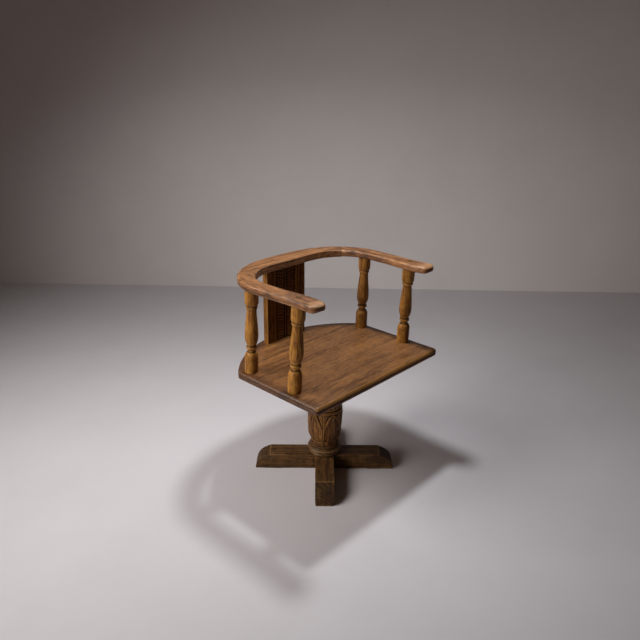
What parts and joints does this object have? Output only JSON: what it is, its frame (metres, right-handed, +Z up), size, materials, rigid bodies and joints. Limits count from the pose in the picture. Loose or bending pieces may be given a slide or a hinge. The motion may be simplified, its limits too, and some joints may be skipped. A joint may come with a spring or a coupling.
{
  "type": "swivel armchair",
  "caption": "Oak armchair with a level curved arm rail on turned spindles and a carved splat, whose boarded seat swivels on a carved baluster and cross base.",
  "frame": {"origin": "on the floor under the swivel axis, which is also the middle of the object's box seen from above", "axes": "+Z up along the swivel axis, -Y towards the front of the seat at rest, +X towards the right-hand arm as seen from in front of the chair looking along +Y"},
  "size_m": [0.6066, 0.4952, 0.7386],
  "materials": {
    "golden_oak": "satin wax polish over golden brown stain, worn on the edges",
    "seat_oak": "satin wax polish over brown stain, rubbed by use",
    "dark_oak": "dull dark stain with dirt in the carving",
    "iron": "dark oiled iron"
  },
  "bodies": {
    "base": {"base_beam_lower": "dark_oak", "base_beam_upper": "dark_oak", "column_baluster": "dark_oak", "column_bolt": "iron", "column_bolt_washer": "iron", "column_foot_ring": "dark_oak", "swivel_base_plate": "iron", "swivel_base_screw_1": "iron", "swivel_base_screw_2": "iron", "swivel_base_screw_3": "iron", "swivel_base_screw_4": "iron", "swivel_thrust_washer": "iron"},
    "seat_unit": {"rail_arm_left": "golden_oak", "rail_arm_right": "golden_oak", "rail_back": "golden_oak", "rail_dowel_left_1": "golden_oak", "rail_dowel_left_2": "golden_oak", "rail_dowel_right_1": "golden_oak", "rail_dowel_right_2": "golden_oak", "seat_batten_left": "golden_oak", "seat_batten_right": "golden_oak", "seat_batten_screw_left_1": "iron", "seat_batten_screw_left_2": "iron", "seat_batten_screw_left_3": "iron", "seat_batten_screw_left_4": "iron", "seat_batten_screw_right_1": "iron", "seat_batten_screw_right_2": "iron", "seat_batten_screw_right_3": "iron", "seat_batten_screw_right_4": "iron", "seat_board_front": "seat_oak", "seat_board_middle_front": "seat_oak", "seat_board_middle_rear": "seat_oak", "seat_board_rear": "seat_oak", "spindle_front_left": "golden_oak", "spindle_front_right": "golden_oak", "spindle_rear_left": "golden_oak", "spindle_rear_right": "golden_oak", "splat_panel": "golden_oak", "splat_stile_left": "golden_oak", "splat_stile_right": "golden_oak", "swivel_pin": "iron", "swivel_pin_lock_nut": "iron", "swivel_pin_nut": "iron", "swivel_pin_washer": "iron", "swivel_seat_plate": "iron", "swivel_seat_plate_screw_1": "iron", "swivel_seat_plate_screw_2": "iron", "swivel_seat_plate_screw_3": "iron", "swivel_seat_plate_screw_4": "iron"}
  },
  "joints": [
    {"name": "swivel", "type": "hinge", "parent": "base", "child": "seat_unit", "pos_m": [0, 0, 0.39], "axis": [0, 0, 1], "continuous": true}
  ]
}
